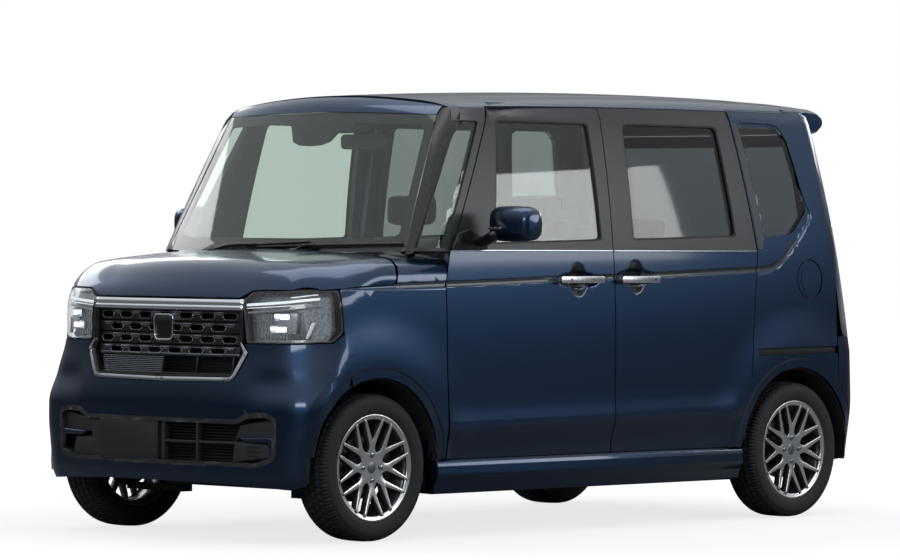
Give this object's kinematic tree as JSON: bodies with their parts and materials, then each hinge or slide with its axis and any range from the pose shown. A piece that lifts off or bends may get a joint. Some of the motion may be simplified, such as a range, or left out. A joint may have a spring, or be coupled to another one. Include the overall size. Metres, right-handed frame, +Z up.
{
  "type": "kei car",
  "caption": "Tall boxy front-engined kei car with front swing doors, sliding rear doors, lifting bonnet and tailgate, and steered front wheels",
  "frame": {"origin": "on the ground below the middle of the overall length and width", "axes": "+X forward, +Y to the car's left, +Z up"},
  "size_m": [3.395, 1.97, 1.76],
  "materials": {
    "alloy": "machined and lacquered",
    "cast": "as cast",
    "chrome": "bright plated",
    "fabric": "woven seat cloth",
    "glass": "clear tinted",
    "gloss": "gloss black",
    "lamp": "clear lens",
    "painted": "deep blue metallic lacquer",
    "privacy": "dark privacy",
    "redlamp": "red lens",
    "rubber": "tyre rubber",
    "steel": "black chassis coating",
    "trim": "grained black"
  },
  "bodies": {
    "body": {"body_sides": "painted", "roof": "painted", "scuttle": "gloss", "wings": "painted", "front_bumper": "painted", "rear_bumper": "painted", "grille": "gloss", "headlamps": "lamp", "tail_lamps": "redlamp", "sliding_doors": "painted", "sliding_door_handles": "chrome", "windscreen": "glass", "side_glass": "privacy", "wipers": "trim", "floor_pan": "steel", "wheelhouses": "trim", "dashboard": "trim", "front_seats": "fabric", "rear_seat": "fabric", "seat_bases": "steel", "engine_block": "cast", "exhaust": "steel", "front_suspension": "steel", "struts": "steel", "rear_axle": "steel"},
    "bonnet": {"bonnet": "painted"},
    "tailgate": {"tailgate": "painted", "tailgate_glass": "privacy"},
    "fuel_flap": {"fuel_flap": "painted"},
    "steering_wheel": {"steering_wheel": "trim"},
    "door_left": {"front_door_left": "painted", "door_glass_left": "glass", "mirror_left": "painted", "door_handle_left": "chrome"},
    "knuckle_left": {"knuckle_left": "cast"},
    "wheel_front_left": {"wheel_front_left": "alloy", "tyre_front_left": "rubber"},
    "wheel_rear_left": {"wheel_rear_left": "alloy", "tyre_rear_left": "rubber"},
    "door_right": {"front_door_right": "painted", "door_glass_right": "glass", "mirror_right": "painted", "door_handle_right": "chrome"},
    "knuckle_right": {"knuckle_right": "cast"},
    "wheel_front_right": {"wheel_front_right": "alloy", "tyre_front_right": "rubber"},
    "wheel_rear_right": {"wheel_rear_right": "alloy", "tyre_rear_right": "rubber"}
  },
  "joints": [
    {"name": "steer_left", "type": "hinge", "parent": "body", "child": "knuckle_left", "pos_m": [1.2425, 0.6, 0.28125], "axis": [0, 0, 1], "range_deg": [-35, 35]},
    {"name": "steer_right", "type": "hinge", "parent": "body", "child": "knuckle_right", "pos_m": [1.2425, -0.6, 0.28125], "axis": [0, 0, 1], "range_deg": [-35, 35]},
    {"name": "steering_turn", "type": "hinge", "parent": "body", "child": "steering_wheel", "pos_m": [0.56, -0.34, 0.96], "axis": [-0.8829, 0, 0.4695], "range_deg": [-525, 525]},
    {"name": "wheel_front_left_spin", "type": "hinge", "parent": "knuckle_left", "child": "wheel_front_left", "pos_m": [1.2425, 0.6475, 0.28125], "axis": [0, 1, 0], "continuous": true},
    {"name": "wheel_rear_left_spin", "type": "hinge", "parent": "body", "child": "wheel_rear_left", "pos_m": [-1.2775, 0.6475, 0.28125], "axis": [0, 1, 0], "continuous": true},
    {"name": "door_left_swing", "type": "hinge", "parent": "body", "child": "door_left", "pos_m": [0.8595, 0.7385, 0.7], "axis": [0, 0, -1], "range_deg": [0, 70]},
    {"name": "wheel_front_right_spin", "type": "hinge", "parent": "knuckle_right", "child": "wheel_front_right", "pos_m": [1.2425, -0.6475, 0.28125], "axis": [0, 1, 0], "continuous": true},
    {"name": "wheel_rear_right_spin", "type": "hinge", "parent": "body", "child": "wheel_rear_right", "pos_m": [-1.2775, -0.6475, 0.28125], "axis": [0, 1, 0], "continuous": true},
    {"name": "door_right_swing", "type": "hinge", "parent": "body", "child": "door_right", "pos_m": [0.8595, -0.7385, 0.7], "axis": [0, 0, 1], "range_deg": [0, 70]},
    {"name": "bonnet_lift", "type": "hinge", "parent": "body", "child": "bonnet", "pos_m": [1.126, 0, 1.114], "axis": [0, -1, 0], "range_deg": [0, 50]},
    {"name": "tailgate_lift", "type": "hinge", "parent": "body", "child": "tailgate", "pos_m": [-1.304, 0, 1.7605], "axis": [0, 1, 0], "range_deg": [0, 80]},
    {"name": "fuel_flap_swing", "type": "hinge", "parent": "body", "child": "fuel_flap", "pos_m": [-1.2825, 0.7385, 0.992], "axis": [0, 0, -1], "range_deg": [0, 110]}
  ],
  "couplings": [
    {"joint": "steer_right", "follows": "steer_left", "ratio": 1},
    {"joint": "steering_turn", "follows": "steer_left", "ratio": 15}
  ]
}
